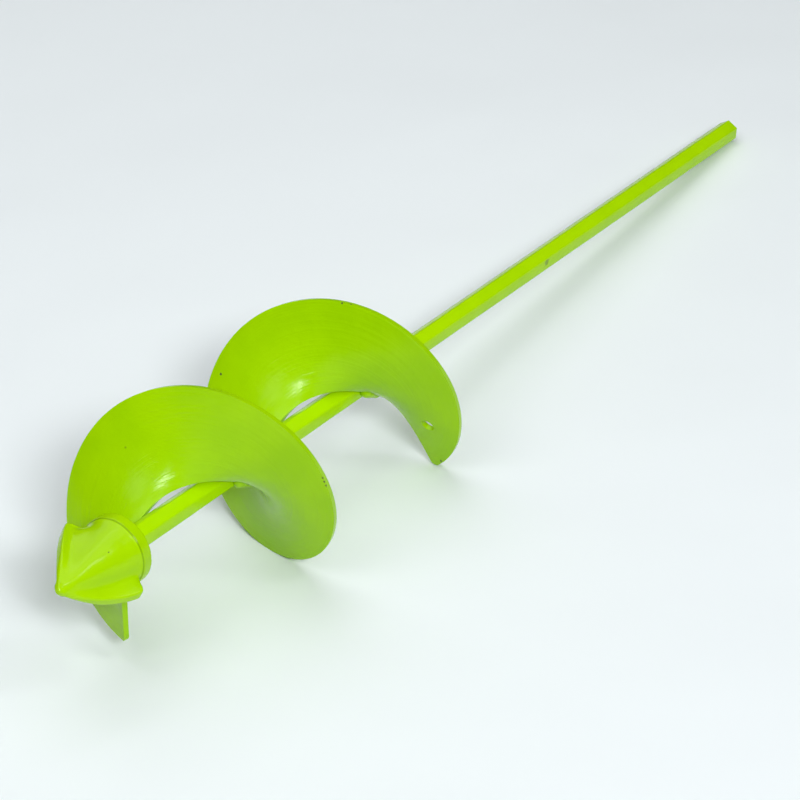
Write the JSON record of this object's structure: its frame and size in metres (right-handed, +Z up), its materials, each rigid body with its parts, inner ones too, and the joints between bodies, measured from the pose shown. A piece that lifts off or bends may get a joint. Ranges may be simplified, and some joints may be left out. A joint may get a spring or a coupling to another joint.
{
  "type": "garden auger bit",
  "caption": "Garden auger bit: a helical flight welded round a long hexagonal drive shank, with a bladed cone tip that starts the hole.",
  "frame": {"origin": "floor point under the middle of the bounding box, with the tool lying on its side as it rests by itself", "axes": "+X runs from the cone tip towards the drive end of the shank, seen from above; +Z is up from the floor"},
  "size_m": [0.4488, 0.08, 0.0838],
  "materials": {
    "shaft_coat": "semi-gloss lime green powder coat",
    "flight_coat": "glossy lime green powder coat over formed sheet steel",
    "tip_coat": "semi-gloss lime green powder coat over a casting",
    "weld_coat": "lime green powder coat over rough weld beads"
  },
  "bodies": {
    "root": {"drive_shaft": "shaft_coat", "flight": "flight_coat", "pilot_tip": "tip_coat", "weld_lead": "weld_coat", "weld_first_turn": "weld_coat", "weld_second_turn": "weld_coat", "weld_tip": "weld_coat"}
  },
  "joints": []
}
